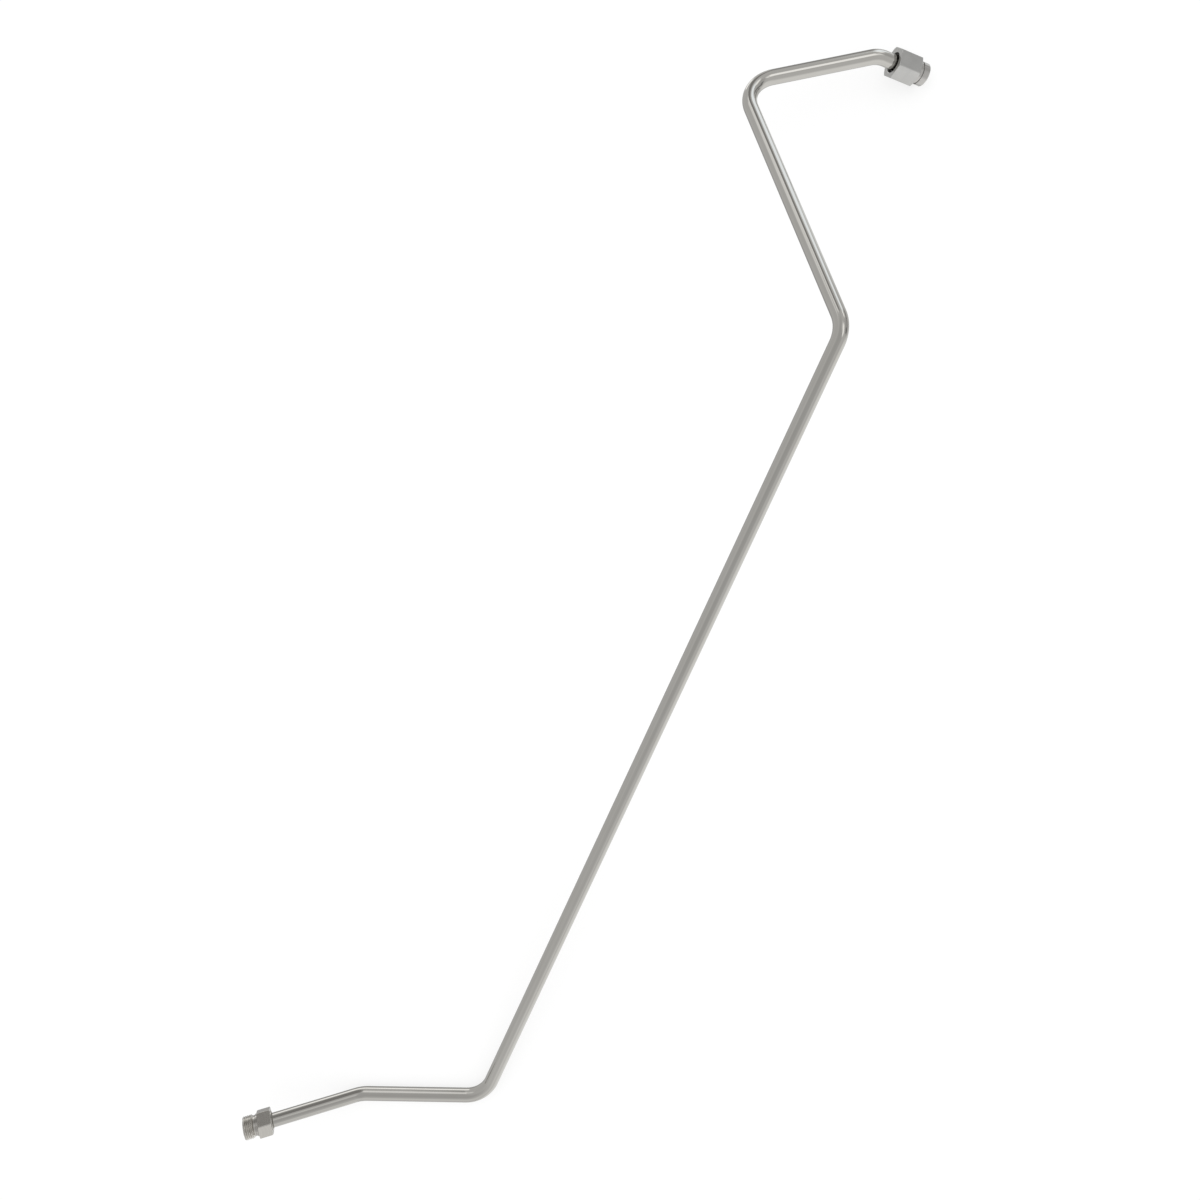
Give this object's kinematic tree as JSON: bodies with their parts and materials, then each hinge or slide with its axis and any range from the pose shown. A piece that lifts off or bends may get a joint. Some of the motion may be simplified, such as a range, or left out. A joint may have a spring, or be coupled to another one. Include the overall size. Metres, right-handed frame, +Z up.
{
  "type": "power steering oil line",
  "caption": "Rigid bent steel oil line with a male face-seal connector brazed on one end and a brazed flat-face sleeve with a loose swivel nut on the other.",
  "frame": {"origin": "on the floor, under the middle of the line's bounding box as it lies at rest", "axes": "+X along the plan of the long run, from the male connector's end to the swivel nut's end; +Z up from the floor"},
  "size_m": [1.1392, 0.1974, 0.1374],
  "materials": {
    "tube_steel": "bright drawn and polished",
    "connector_steel": "turned, bright plated",
    "sleeve_steel": "turned, bright",
    "nut_steel": "satin, turned from hexagon bar",
    "braze_metal": "smooth frozen braze",
    "ring_rubber": "matt moulded rubber"
  },
  "bodies": {
    "line": {"steel_tube": "tube_steel", "male_connector": "connector_steel", "face_seal_ring": "ring_rubber", "connector_braze": "braze_metal", "flat_face_sleeve": "sleeve_steel", "sleeve_braze": "braze_metal"},
    "nut": {"swivel_nut": "nut_steel"}
  },
  "joints": [
    {"name": "nut_spin", "type": "hinge", "parent": "line", "child": "nut", "pos_m": [0.55376, -0.04231, 0.01861], "axis": [0.2261, -0.8619, -0.4538], "continuous": true}
  ]
}
